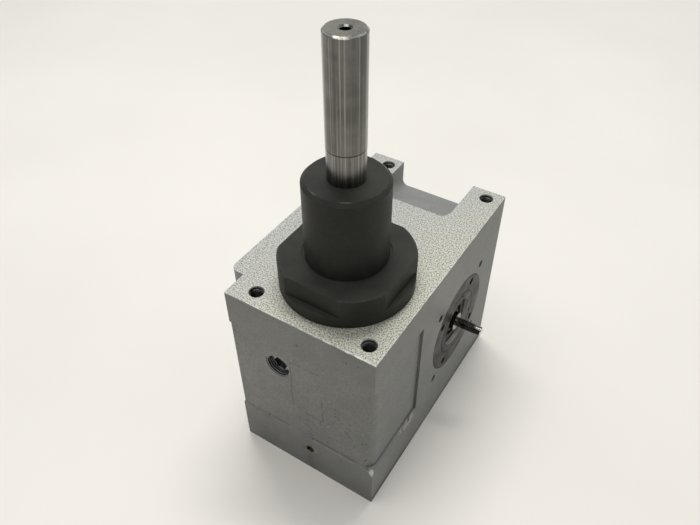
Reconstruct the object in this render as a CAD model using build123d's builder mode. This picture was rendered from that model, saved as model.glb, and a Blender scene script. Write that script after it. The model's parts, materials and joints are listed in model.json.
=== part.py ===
from build123d import *

import os
from math import atan, cos, pi, radians, sin, sqrt, tan

# Right-angle worm gearbox: a worm with a slim input stub drives a worm wheel, whose hollow
# shaft clamps a plain steel output shaft. Millimetres, +Z up, +X towards the input stub,
# +Y to the back. The origin is on the output axis, level with the base.

# ---- housing ----
HOUSING_LEFT, HOUSING_RIGHT = -50, 45
HOUSING_FRONT, HOUSING_BACK = -45, 115
HOUSING_HEIGHT = 132
WAIST_BOTTOM, WAIST_TOP = 35, 109  # the as-cast band between the machined bands
WAIST_BACK = 8
WAIST_DEPTH_RIGHT, WAIST_DEPTH_FRONT, WAIST_DEPTH_LEFT = 1.5, 0.6, 0.6
WAIST_CORNER_RADIUS = 6
WAIST_SLOPE_RUN, WAIST_SLOPE_RISE = 0.55, 2  # the waist runs out softly on the lower band
NOTCH_LEFT, NOTCH_RIGHT = -28, 23  # the sloping floor between the two rear ears
NOTCH_FRONT = 76
NOTCH_DEPTH = 17.8
NOTCH_RADIUS = 4
PAD_PROUD = 10.8
PAD_FRONT, PAD_BACK = -27.5, 100
PAD_BOTTOM, PAD_TOP = 6, 130.5
PAD_CORNER_RADIUS = 5
SMALL_CHAMFER = 0.3
THROUGH = 20  # longer than any wall that a cut goes through
FIT = 0.02  # radial clearance of a seat or a spigot

# ---- gearing ----
GEAR_MODULE = 2.5
WHEEL_TEETH = 28
PRESSURE_ANGLE = radians(20)
CENTRE_DISTANCE = 60
AXIS_HEIGHT = 67  # worm axis above the base, and the middle of the wheel's rim
BACKLASH = 0.2  # gap on each flank
WHEEL_PITCH_RADIUS = GEAR_MODULE * WHEEL_TEETH / 2
WORM_PITCH_RADIUS = CENTRE_DISTANCE - WHEEL_PITCH_RADIUS
WHEEL_TIP_RADIUS = WHEEL_PITCH_RADIUS + GEAR_MODULE
WHEEL_ROOT_RADIUS = WHEEL_PITCH_RADIUS - 1.2 * GEAR_MODULE
WORM_TIP_RADIUS = WORM_PITCH_RADIUS + GEAR_MODULE
WORM_ROOT_RADIUS = WORM_PITCH_RADIUS - 1.2 * GEAR_MODULE
LEAD = pi * GEAR_MODULE  # one start
WHEEL_WIDTH = 14
WORM_LENGTH = 34
THREAD_TURNS = 5
FLANK_POINTS = 4

# ---- chambers ----
WHEEL_CHAMBER_RADIUS = 39
WHEEL_CHAMBER_TOP = 104
WORM_BORE_RADIUS = 28.5
WORM_BORE_RIGHT = 19

# ---- output bearings, seal and spacer (35 x 62 x 14) ----
OUTPUT_BORE, OUTPUT_OUTER, OUTPUT_BEARING_WIDTH = 35, 62, 14
OUTPUT_BALL, OUTPUT_BALL_COUNT, OUTPUT_PITCH_RADIUS = 8.7, 11, 24.25
LOWER_BEARING_BOTTOM = 11
UPPER_BEARING_BOTTOM = 110
BEARING_SHOULDER_RADIUS = 21
SEAL_BOTTOM, SEAL_WIDTH = 124.5, 7
SEAL_GAP = 0.05

# ---- worm bearings (20 x 42 x 12) ----
WORM_BORE, WORM_OUTER, WORM_BEARING_WIDTH = 20, 42, 12
WORM_BALL, WORM_BALL_COUNT, WORM_BEARING_PITCH_RADIUS = 6.35, 9, 15.5
LEFT_BEARING_START = -47
RIGHT_BEARING_START = 23
BALL_CLEARANCE = 0.1
RING_CHAMFER = 0.5
CAGE_HALF_THICKNESS, CAGE_SIDE = 1.3, 1.2  # a cage is wider than its balls by two sides

# ---- bottom cover ----
BOTTOM_PLATE_SIZE, BOTTOM_PLATE_CORNER = 82, 8
BOTTOM_PLATE_TOP = 9  # the plate is flush with the base
BOTTOM_SPIGOT_TOP = 14
BOTTOM_BOSS_RADIUS = 35
BOTTOM_SCREW_SPACING = 70
O_RING_RADIUS, O_RING_GROOVE_START = 0.95, 1.2  # the groove's start is from the flange
O_RING_GROOVE_WIDTH, O_RING_GROOVE_DEPTH = 2.4, 2

# ---- worm end cover, in the left pad ----
END_COVER_RADIUS, END_COVER_THICKNESS = 37.5, 8
END_COVER_SCREW_RADIUS = 33
END_SPIGOT_RIGHT = -35

# ---- input cover, flush in the right face ----
INPUT_COVER_RADIUS, INPUT_COVER_THICKNESS = 33.3, 10
INPUT_SCREW_RADIUS, INPUT_SCREW_ANGLE = 28, 56
ADJUSTING_RING_RADIUS = 21.6
ADJUSTING_RECESS_RADIUS, ADJUSTING_RECESS_DEPTH = 16.3, 2.5
PIN_HOLE_RADIUS, PIN_HOLE_CIRCLE, PIN_HOLE_ANGLE = 0.9, 19, 76
INPUT_SEAL_RADIUS, INPUT_SEAL_WIDTH, INPUT_SEAL_SETBACK = 12, 6.5, 0.7
SEAL_SHELL, SEAL_LIP = 1.4, 1.6
INPUT_O_RING_RADIUS, INPUT_O_RING_SECTION, INPUT_O_RING_GROOVE = 24, 0.8, 1.7

# ---- shafts ----
HOLLOW_BOTTOM = 8
HUB_FLANGE_RADIUS, HUB_FLANGE_BOTTOM = 30, 52
WHEEL_SCREW_RADIUS, WHEEL_SCREW_COUNT, WHEEL_SCREW_LENGTH = 26, 6, 20
OUTPUT_SHAFT_RADIUS = 10
CLAMPED_RADIUS = 9.8  # below the ground free end
OUTPUT_SHAFT_BOTTOM, OUTPUT_SHAFT_TOP = 30, 272.6
GROUND_END_BOTTOM = 216.4
KEY_WIDTH, KEY_LENGTH, KEY_HEIGHT, KEY_SEAT_DEPTH = 6, 32, 6, 3.5
KEY_MIDDLE, KEY_TOP_GAP = AXIS_HEIGHT + 9, 0.2
COLLET_RADIUS, COLLET_TOP = 14, 196
COLLET_SLOTS, COLLET_SLOT_WIDTH, COLLET_SLOT_DEPTH = 3, 2, 34
SHAFT_TAP_RADIUS, SHAFT_TAP_DEPTH = 2.5, 16
WORM_SHOULDER_RADIUS = 13
SEAL_LAND_RADIUS = 6
CIRCLIP_THICKNESS, CIRCLIP_GROOVE_WIDTH = 1.5, 1.6
STUB_RADIUS, STUB_END = 3, 62.2

# ---- clamp on the output shaft ----
NUT_BOTTOM, NUT_TOP = 132.5, 151.2
NUT_RADIUS = 37.65
NUT_FLAT_DISTANCE = 33.5
NUT_LEDGE = 139
SLEEVE_RADIUS, SLEEVE_TOP = 22.65, 199
SLEEVE_CHAMFER = 2
NUT_CHAMFER = 0.8
NUT_RELIEF_WIDTH, NUT_RELIEF_DEPTH = 1.6, 0.6

# ---- fasteners and plugs; a head is its radius, its height and its socket's width ----
M5_RADIUS, M5_HEAD, M5_HEAD_SINK = 2.5, (4.25, 5, 4), 5.2
M5_HEAD_HOLE, M5_SHANK_HOLE = 4.6, 2.75
M4_RADIUS, M4_HEAD, M4_HEAD_SINK = 2, (3.5, 4, 3), 4.2
M4_HEAD_HOLE, M4_SHANK_HOLE = 3.7, 2.2
COVER_SCREW_RADIUS, COVER_SCREW_HEAD, COVER_SCREW_SINK = 1.25, (2.25, 2.5, 2), 4
COVER_HEAD_HOLE, COVER_SHANK_HOLE = 2.4, 1.5
TOP_HOLE_RADIUS, TOP_HOLE_DEPTH = 4, 18
TOP_HOLE_SPACING_X = 70.8
TOP_HOLE_FRONT, TOP_HOLE_BACK = -35.4, 106.9
FLANGE_HOLE_RADIUS, FLANGE_HOLE_DEPTH, FLANGE_HOLE_CIRCLE = 2.5, 12, 40
FILL_X, FILL_HEIGHT, FILL_RADIUS = -18.4, 89.4, 8.2
FILL_THREAD_PITCH, FILL_THREAD_DEPTH, FILL_THREAD_GROOVES = 1.34, 0.7, 2
FILL_PLUG_RECESS, FILL_PLUG_LENGTH, FILL_SOCKET, FILL_SOCKET_DEPTH = 3, 6, 8, 4
DRAIN_X, DRAIN_HEIGHT, DRAIN_RADIUS = 0.5, 21.3, 4.9
DRAIN_PLUG_LENGTH, DRAIN_SOCKET, DRAIN_SOCKET_DEPTH = 5.8, 5, 3.5

os.makedirs("parts", exist_ok=True)

WORM_BEARING_END = LEFT_BEARING_START + WORM_BEARING_WIDTH
INPUT_COVER_START = HOUSING_RIGHT - INPUT_COVER_THICKNESS
PAD_X = HOUSING_LEFT - PAD_PROUD
END_COVER_INSIDE = PAD_X + END_COVER_THICKNESS
WHEEL_BOTTOM = AXIS_HEIGHT - WHEEL_WIDTH / 2
WHEEL_TOP = AXIS_HEIGHT + WHEEL_WIDTH / 2


def level(height):
    """Horizontal plane on the output axis."""
    return Plane.XY.offset(height)


base_face = Plane(origin=(0, 0, 0), x_dir=(1, 0, 0), z_dir=(0, 0, -1))


def across_worm(x):
    """Plane square to the worm axis: local x is the row's Y, local y is Z, normal +X."""
    return Plane(origin=(x, CENTRE_DISTANCE, AXIS_HEIGHT), x_dir=(0, 1, 0), z_dir=(1, 0, 0))


pad_face = Plane(origin=(PAD_X, CENTRE_DISTANCE, AXIS_HEIGHT), x_dir=(0, 1, 0), z_dir=(-1, 0, 0))


def on_front(x, height, y):
    """Plane that faces forwards."""
    return Plane(origin=(x, y, height), x_dir=(1, 0, 0), z_dir=(0, -1, 0))


def axial_section(plane):
    """Plane through another's normal: local x is the radius, local y runs along the normal."""
    return Plane(origin=plane.origin, x_dir=plane.x_dir, z_dir=-plane.y_dir)


def disc(plane, radius, length, inner=0, mode=Mode.ADD):
    """A round bar, or a ring when inner is given, that grows along the plane's normal."""
    with BuildSketch(plane) as outline:
        Circle(radius)
        if inner:
            Circle(inner, mode=Mode.SUBTRACT)
    extrude(outline.sketch, amount=length, mode=mode)


def round_holes(plane, radius, depth, spots, chamfer_size=0, tip=True):
    """Blind round holes that sink against the plane's normal, with a drill tip."""
    with BuildSketch(plane) as mouths:
        with Locations(spots):
            Circle(radius)
    extrude(mouths.sketch, amount=-depth, mode=Mode.SUBTRACT)
    if chamfer_size:
        with BuildSketch(plane) as countersinks:
            with Locations(spots):
                Circle(radius + chamfer_size)
        extrude(countersinks.sketch, amount=-chamfer_size, taper=45, mode=Mode.SUBTRACT)
    if tip:
        with BuildSketch(plane.offset(-depth)) as bottoms:
            with Locations(spots):
                Circle(radius)
        extrude(bottoms.sketch, amount=-radius / 2, taper=59, mode=Mode.SUBTRACT)


def ring_spots(radius, count, start_angle):
    """Points evenly spaced on a circle, in a plane's own coordinates."""
    angles = [radians(start_angle + 360 * i / count) for i in range(count)]
    return [(radius * cos(angle), radius * sin(angle)) for angle in angles]


def cap_screws(plane, spots, thread_radius, length, head_radius, head_height, socket):
    """Socket-head screws whose heads rise from the plane and whose shanks sink below it."""
    with BuildSketch(plane) as heads:
        with Locations(spots):
            Circle(head_radius)
    extrude(heads.sketch, amount=head_height)
    with BuildSketch(plane) as shanks:
        with Locations(spots):
            Circle(thread_radius)
    extrude(shanks.sketch, amount=-length)
    with BuildSketch(plane.offset(head_height)) as sockets:
        with Locations(spots):
            RegularPolygon(socket / sqrt(3), 6)
    extrude(sockets.sketch, amount=-head_height * 0.6, mode=Mode.SUBTRACT)


top_hole_spots = [
    (side * TOP_HOLE_SPACING_X / 2, y)
    for side in (-1, 1)
    for y in (TOP_HOLE_FRONT, TOP_HOLE_BACK)
]
bottom_screw_spots = [
    (side * BOTTOM_SCREW_SPACING / 2, end * BOTTOM_SCREW_SPACING / 2)
    for side in (-1, 1)
    for end in (-1, 1)
]
input_screw_spots = ring_spots(INPUT_SCREW_RADIUS, 4, INPUT_SCREW_ANGLE)
end_screw_spots = ring_spots(END_COVER_SCREW_RADIUS, 4, 45)
wheel_screw_spots = ring_spots(WHEEL_SCREW_RADIUS, WHEEL_SCREW_COUNT, 30)

# ---- housing: block, waist, pad, rear notch, chambers, seats and tapped holes ----
with BuildPart() as housing:
    with BuildSketch(level(0)):
        with Locations(((HOUSING_LEFT + HOUSING_RIGHT) / 2, (HOUSING_FRONT + HOUSING_BACK) / 2)):
            Rectangle(HOUSING_RIGHT - HOUSING_LEFT, HOUSING_BACK - HOUSING_FRONT)
    extrude(amount=HOUSING_HEIGHT)
    waist_left = HOUSING_LEFT + WAIST_DEPTH_LEFT
    waist_right = HOUSING_RIGHT - WAIST_DEPTH_RIGHT
    waist_front = HOUSING_FRONT + WAIST_DEPTH_FRONT
    with BuildSketch(level(WAIST_BOTTOM)):
        with BuildLine():
            Polyline(
                (waist_right, WAIST_BACK),
                (HOUSING_RIGHT + 1, WAIST_BACK),
                (HOUSING_RIGHT + 1, HOUSING_FRONT - 1),
                (HOUSING_LEFT - 1, HOUSING_FRONT - 1),
                (HOUSING_LEFT - 1, WAIST_BACK),
                (waist_left, WAIST_BACK),
                (waist_left, waist_front),
            )
            FilletPolyline(
                (waist_left, waist_front),
                (waist_right, waist_front),
                (waist_right, WAIST_BACK),
                radius=WAIST_CORNER_RADIUS,
            )
        make_face()
    extrude(amount=WAIST_TOP - WAIST_BOTTOM, mode=Mode.SUBTRACT)
    ledge = faces().filter_by_position(Axis.Z, WAIST_BOTTOM, WAIST_BOTTOM)[0]
    rim_edges = ledge.edges().filter_by(
        lambda edge: edge.center().X in (HOUSING_LEFT, HOUSING_RIGHT) or edge.center().Y == HOUSING_FRONT
    )
    chamfer(rim_edges, WAIST_SLOPE_RUN, WAIST_SLOPE_RISE, reference=ledge)
    with BuildSketch(level(PAD_BOTTOM)):
        with BuildLine():
            Line((waist_left + 1, PAD_BACK), (waist_left + 1, PAD_FRONT))
            FilletPolyline(
                (waist_left + 1, PAD_FRONT),
                (PAD_X, PAD_FRONT),
                (PAD_X, PAD_BACK),
                (waist_left + 1, PAD_BACK),
                radius=PAD_CORNER_RADIUS,
            )
        make_face()
    extrude(amount=PAD_TOP - PAD_BOTTOM)
    # The notch's round-bottomed section is drawn square to its slope and run along it.
    notch_run = HOUSING_BACK - NOTCH_FRONT
    slope_plane = Plane(
        origin=((NOTCH_LEFT + NOTCH_RIGHT) / 2, NOTCH_FRONT, HOUSING_HEIGHT),
        x_dir=(1, 0, 0),
        z_dir=(0, -notch_run, NOTCH_DEPTH),
    )
    with BuildSketch(slope_plane):
        with BuildLine():
            half_width = (NOTCH_RIGHT - NOTCH_LEFT) / 2
            FilletPolyline(
                (-half_width, 2 * NOTCH_DEPTH),
                (-half_width, 0),
                (half_width, 0),
                (half_width, 2 * NOTCH_DEPTH),
                radius=NOTCH_RADIUS,
            )
            Line((half_width, 2 * NOTCH_DEPTH), (-half_width, 2 * NOTCH_DEPTH))
        make_face()
    extrude(amount=-1.5 * notch_run, mode=Mode.SUBTRACT)
    # Output side: plate recess and chamber from below, bearing and seal seat from above.
    with BuildSketch(level(0)):
        RectangleRounded(BOTTOM_PLATE_SIZE, BOTTOM_PLATE_SIZE, BOTTOM_PLATE_CORNER)
    extrude(amount=BOTTOM_PLATE_TOP, mode=Mode.SUBTRACT)
    disc(level(0), WHEEL_CHAMBER_RADIUS, WHEEL_CHAMBER_TOP, mode=Mode.SUBTRACT)
    disc(level(0), OUTPUT_OUTER / 2 - 3, HOUSING_HEIGHT, mode=Mode.SUBTRACT)
    upper_seat = level(UPPER_BEARING_BOTTOM)
    disc(upper_seat, OUTPUT_OUTER / 2 + FIT, HOUSING_HEIGHT - UPPER_BEARING_BOTTOM, mode=Mode.SUBTRACT)
    # Worm side: bore from the pad, shoulder, bearing seat and cover seat.
    disc(across_worm(PAD_X), WORM_BORE_RADIUS, WORM_BORE_RIGHT - PAD_X, mode=Mode.SUBTRACT)
    disc(across_worm(PAD_X), END_COVER_RADIUS + FIT, END_COVER_THICKNESS, mode=Mode.SUBTRACT)
    disc(across_worm(0), WORM_OUTER / 2 - 2.5, HOUSING_RIGHT, mode=Mode.SUBTRACT)
    disc(across_worm(RIGHT_BEARING_START), WORM_OUTER / 2 + FIT, HOUSING_RIGHT, mode=Mode.SUBTRACT)
    disc(across_worm(INPUT_COVER_START), INPUT_COVER_RADIUS + FIT, HOUSING_RIGHT, mode=Mode.SUBTRACT)
    # Tapped holes.
    round_holes(level(HOUSING_HEIGHT), TOP_HOLE_RADIUS, TOP_HOLE_DEPTH, top_hole_spots, 0.45)
    round_holes(
        across_worm(HOUSING_RIGHT),
        FLANGE_HOLE_RADIUS,
        FLANGE_HOLE_DEPTH,
        ring_spots(FLANGE_HOLE_CIRCLE, 4, 45),
        0.2,
    )
    plate_seat = base_face.offset(-BOTTOM_PLATE_TOP)
    round_holes(plate_seat, M5_RADIUS + FIT, 14, bottom_screw_spots)
    round_holes(across_worm(INPUT_COVER_START), COVER_SCREW_RADIUS + FIT, 7, input_screw_spots)
    end_seat = pad_face.offset(-END_COVER_THICKNESS)
    round_holes(end_seat, M4_RADIUS + FIT, 11, end_screw_spots)
    # Oil fill hole, with thread grooves in its open mouth, and oil drain hole.
    fill_mouth = on_front(FILL_X, FILL_HEIGHT, waist_front)
    disc(fill_mouth, FILL_RADIUS - FILL_THREAD_DEPTH, -THROUGH, mode=Mode.SUBTRACT)
    disc(fill_mouth, FILL_RADIUS, -0.5, mode=Mode.SUBTRACT)
    for i in range(FILL_THREAD_GROOVES):
        groove = fill_mouth.offset(-0.9 - i * FILL_THREAD_PITCH)
        disc(groove, FILL_RADIUS, -FILL_THREAD_PITCH / 2, mode=Mode.SUBTRACT)
    drain_face = on_front(DRAIN_X, DRAIN_HEIGHT, HOUSING_FRONT)
    disc(drain_face, DRAIN_RADIUS + FIT, -THROUGH, mode=Mode.SUBTRACT)
housing.part.label = "housing"
export_step(housing.part, "parts/housing.step")

# ---- bottom cover: square plate, spigot and lower bearing seat ----
with BuildPart() as bottom_cover:
    plate_size = BOTTOM_PLATE_SIZE - 2 * FIT
    with BuildSketch(level(0)):
        RectangleRounded(plate_size, plate_size, BOTTOM_PLATE_CORNER)
    extrude(amount=BOTTOM_PLATE_TOP)
    spigot_height = BOTTOM_SPIGOT_TOP - BOTTOM_PLATE_TOP
    disc(level(BOTTOM_PLATE_TOP), WHEEL_CHAMBER_RADIUS - FIT, spigot_height)
    bearing_top = LOWER_BEARING_BOTTOM + OUTPUT_BEARING_WIDTH
    disc(level(BOTTOM_SPIGOT_TOP), BOTTOM_BOSS_RADIUS, bearing_top - BOTTOM_SPIGOT_TOP)
    disc(level(LOWER_BEARING_BOTTOM), OUTPUT_OUTER / 2 + FIT, THROUGH, mode=Mode.SUBTRACT)
    disc(level(HOLLOW_BOTTOM - 2), OUTPUT_OUTER / 2 - 4, THROUGH, mode=Mode.SUBTRACT)
    groove_plane = level(BOTTOM_PLATE_TOP + O_RING_GROOVE_START)
    groove_floor = WHEEL_CHAMBER_RADIUS - O_RING_GROOVE_DEPTH
    disc(groove_plane, WHEEL_CHAMBER_RADIUS, O_RING_GROOVE_WIDTH, groove_floor, mode=Mode.SUBTRACT)
    round_holes(base_face, M5_HEAD_HOLE, M5_HEAD_SINK, bottom_screw_spots, tip=False)
    round_holes(base_face, M5_SHANK_HOLE, THROUGH, bottom_screw_spots, tip=False)
bottom_cover.part.label = "bottom_cover"
export_step(bottom_cover.part, "parts/bottom_cover.step")

with BuildPart() as bottom_cover_screws:
    cap_screws(base_face.offset(-M5_HEAD_SINK), bottom_screw_spots, M5_RADIUS, 14, *M5_HEAD)
bottom_cover_screws.part.label = "bottom_cover_screws"
export_step(bottom_cover_screws.part, "parts/bottom_cover_screws.step")

with BuildPart(groove_plane.offset(O_RING_GROOVE_WIDTH / 2)) as bottom_cover_o_ring:
    Torus(WHEEL_CHAMBER_RADIUS - O_RING_GROOVE_DEPTH / 2, O_RING_RADIUS)
bottom_cover_o_ring.part.label = "bottom_cover_o_ring"
export_step(bottom_cover_o_ring.part, "parts/bottom_cover_o_ring.step")

# ---- worm end cover: flush disc in the pad, with a spigot that holds the left bearing ----
with BuildPart() as worm_end_cover:
    spigot_plane = across_worm(END_COVER_INSIDE)
    disc(pad_face, END_COVER_RADIUS - FIT, -END_COVER_THICKNESS)
    chamfer(edges().group_by(Axis.X)[0], SMALL_CHAMFER)
    disc(spigot_plane, WORM_BORE_RADIUS - FIT, END_SPIGOT_RIGHT - END_COVER_INSIDE)
    disc(across_worm(LEFT_BEARING_START), WORM_OUTER / 2 + FIT, THROUGH, mode=Mode.SUBTRACT)
    disc(across_worm(LEFT_BEARING_START - 6), WORM_OUTER / 2 - 4, THROUGH, mode=Mode.SUBTRACT)
    end_groove = across_worm(END_COVER_INSIDE + O_RING_GROOVE_START)
    end_groove_floor = WORM_BORE_RADIUS - O_RING_GROOVE_DEPTH
    disc(end_groove, WORM_BORE_RADIUS, O_RING_GROOVE_WIDTH, end_groove_floor, mode=Mode.SUBTRACT)
    round_holes(pad_face, M4_HEAD_HOLE, M4_HEAD_SINK, end_screw_spots, tip=False)
    round_holes(pad_face, M4_SHANK_HOLE, THROUGH, end_screw_spots, tip=False)
worm_end_cover.part.label = "worm_end_cover"
export_step(worm_end_cover.part, "parts/worm_end_cover.step")

with BuildPart() as worm_end_cover_screws:
    cap_screws(pad_face.offset(-M4_HEAD_SINK), end_screw_spots, M4_RADIUS, 13, *M4_HEAD)
worm_end_cover_screws.part.label = "worm_end_cover_screws"
export_step(worm_end_cover_screws.part, "parts/worm_end_cover_screws.step")

with BuildPart(end_groove.offset(O_RING_GROOVE_WIDTH / 2)) as worm_end_cover_o_ring:
    Torus(WORM_BORE_RADIUS - O_RING_GROOVE_DEPTH / 2, O_RING_RADIUS)
worm_end_cover_o_ring.part.label = "worm_end_cover_o_ring"
export_step(worm_end_cover_o_ring.part, "parts/worm_end_cover_o_ring.step")

# ---- input cover and the adjusting ring that sets the worm bearings ----
with BuildPart() as input_cover:
    cover_back = across_worm(INPUT_COVER_START)
    input_face = across_worm(HOUSING_RIGHT)
    disc(cover_back, INPUT_COVER_RADIUS - FIT, INPUT_COVER_THICKNESS, ADJUSTING_RING_RADIUS + FIT)
    chamfer(edges().group_by(Axis.X)[-1], SMALL_CHAMFER)
    with BuildSketch(cover_back) as face_groove:
        Circle(INPUT_O_RING_RADIUS + 1)
        Circle(INPUT_O_RING_RADIUS - 1, mode=Mode.SUBTRACT)
    extrude(face_groove.sketch, amount=INPUT_O_RING_GROOVE, mode=Mode.SUBTRACT)
    round_holes(input_face, COVER_HEAD_HOLE, COVER_SCREW_SINK, input_screw_spots, tip=False)
    round_holes(input_face, COVER_SHANK_HOLE, THROUGH, input_screw_spots, tip=False)
input_cover.part.label = "input_cover"
export_step(input_cover.part, "parts/input_cover.step")

with BuildPart() as input_cover_screws:
    head_seat = input_face.offset(-COVER_SCREW_SINK)
    cap_screws(head_seat, input_screw_spots, COVER_SCREW_RADIUS, 12, *COVER_SCREW_HEAD)
input_cover_screws.part.label = "input_cover_screws"
export_step(input_cover_screws.part, "parts/input_cover_screws.step")

with BuildPart(cover_back.offset(INPUT_O_RING_GROOVE / 2)) as input_cover_o_ring:
    Torus(INPUT_O_RING_RADIUS, INPUT_O_RING_SECTION)
input_cover_o_ring.part.label = "input_cover_o_ring"
export_step(input_cover_o_ring.part, "parts/input_cover_o_ring.step")

with BuildPart() as bearing_adjusting_ring:
    disc(cover_back, ADJUSTING_RING_RADIUS, INPUT_COVER_THICKNESS, INPUT_SEAL_RADIUS + FIT)
    chamfer(edges().group_by(Axis.X)[-1].sort_by(SortBy.RADIUS)[-1], SMALL_CHAMFER)
    recess_plane = across_worm(HOUSING_RIGHT - ADJUSTING_RECESS_DEPTH)
    disc(recess_plane, ADJUSTING_RECESS_RADIUS, THROUGH, mode=Mode.SUBTRACT)
    disc(cover_back, WORM_OUTER / 2 - 3, 0.5, mode=Mode.SUBTRACT)
    pin_spots = ring_spots(PIN_HOLE_CIRCLE, 4, PIN_HOLE_ANGLE)
    round_holes(input_face, PIN_HOLE_RADIUS, 3, pin_spots)
bearing_adjusting_ring.part.label = "bearing_adjusting_ring"
export_step(bearing_adjusting_ring.part, "parts/bearing_adjusting_ring.step")

with BuildPart() as input_shaft_seal:
    seal_back = cover_back.offset(INPUT_SEAL_SETBACK)
    seal_face = seal_back.offset(INPUT_SEAL_WIDTH)
    shell_inside = INPUT_SEAL_RADIUS - SEAL_SHELL
    lip_outside = SEAL_LAND_RADIUS + SEAL_LIP
    disc(seal_back, INPUT_SEAL_RADIUS, INPUT_SEAL_WIDTH, SEAL_LAND_RADIUS + SEAL_GAP)
    disc(seal_face, shell_inside, -1.2, lip_outside, mode=Mode.SUBTRACT)
    disc(seal_back, shell_inside, 3.5, lip_outside, mode=Mode.SUBTRACT)
input_shaft_seal.part.label = "input_shaft_seal"
export_step(input_shaft_seal.part, "parts/input_shaft_seal.step")

# ---- worm: one trapezoid swept along a helix, trimmed to a chamfered cylinder ----
THREAD_HALF_WIDTH = LEAD / 4 - BACKLASH / 2  # at the pitch radius


def thread_half_width(radius):
    """Half the thread's width along the axis, at a radius on its straight flank."""
    return THREAD_HALF_WIDTH - (radius - WORM_PITCH_RADIUS) * tan(PRESSURE_ANGLE)


with BuildPart() as worm_thread:
    thread_base = WORM_ROOT_RADIUS - 0.5
    thread_start = -THREAD_TURNS * LEAD / 2
    with BuildLine():
        Helix(LEAD, THREAD_TURNS * LEAD, WORM_ROOT_RADIUS, center=(0, 0, thread_start))
    with BuildSketch(Plane(origin=(0, 0, thread_start), x_dir=(1, 0, 0), z_dir=(0, -1, 0))):
        with BuildLine():
            base_half = thread_half_width(thread_base)
            tip_half = thread_half_width(WORM_TIP_RADIUS)
            Polyline(
                (thread_base, -base_half),
                (WORM_TIP_RADIUS, -tip_half),
                (WORM_TIP_RADIUS, tip_half),
                (thread_base, base_half),
                close=True,
            )
        make_face()
    sweep(is_frenet=True)
    with BuildSketch(Plane.XY.offset(-WORM_LENGTH / 2)):
        Circle(WORM_TIP_RADIUS + 1)
    extrude(amount=WORM_LENGTH, mode=Mode.INTERSECT)

with BuildPart() as worm_shaft:
    add(across_worm(0) * worm_thread.part)
    disc(across_worm(-WORM_LENGTH / 2), WORM_ROOT_RADIUS, WORM_LENGTH)
    shoulder_length = RIGHT_BEARING_START - WORM_BEARING_END
    disc(across_worm(WORM_BEARING_END), WORM_SHOULDER_RADIUS, shoulder_length)
    left_end = LEFT_BEARING_START - 4
    disc(across_worm(left_end), WORM_BORE / 2, INPUT_COVER_START - left_end)
    disc(across_worm(INPUT_COVER_START), SEAL_LAND_RADIUS, INPUT_COVER_THICKNESS)
    disc(across_worm(HOUSING_RIGHT), STUB_RADIUS, STUB_END - HOUSING_RIGHT)
    chamfer(edges().group_by(Axis.X)[-1], 0.5)
    chamfer(edges().group_by(Axis.X)[0], 1)
    worm_groove = across_worm(LEFT_BEARING_START - CIRCLIP_GROOVE_WIDTH)
    disc(worm_groove, WORM_BORE / 2, CIRCLIP_GROOVE_WIDTH, WORM_BORE / 2 - 0.6, mode=Mode.SUBTRACT)
worm_shaft.part.label = "worm_shaft"
export_step(worm_shaft.part, "parts/worm_shaft.step")


def circlip(plane, inner, width):
    """An open retaining ring with two eyed lugs."""
    lug = width * 0.7
    with BuildSketch(plane) as outline:
        Circle(inner + width)
        Circle(inner, mode=Mode.SUBTRACT)
        with Locations((inner + width / 2, 0)):
            Rectangle(2 * width, 2 * lug, mode=Mode.SUBTRACT)
        with PolarLocations(inner + width, 2, -14, 28, endpoint=True):
            Circle(lug)
            Circle(lug / 2, mode=Mode.SUBTRACT)
        Circle(inner, mode=Mode.SUBTRACT)
    extrude(outline.sketch, amount=CIRCLIP_THICKNESS)


with BuildPart() as worm_circlip:
    circlip(worm_groove.offset(0.05), WORM_BORE / 2 - 0.55, 2.4)
worm_circlip.part.label = "worm_circlip"
export_step(worm_circlip.part, "parts/worm_circlip.step")

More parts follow.
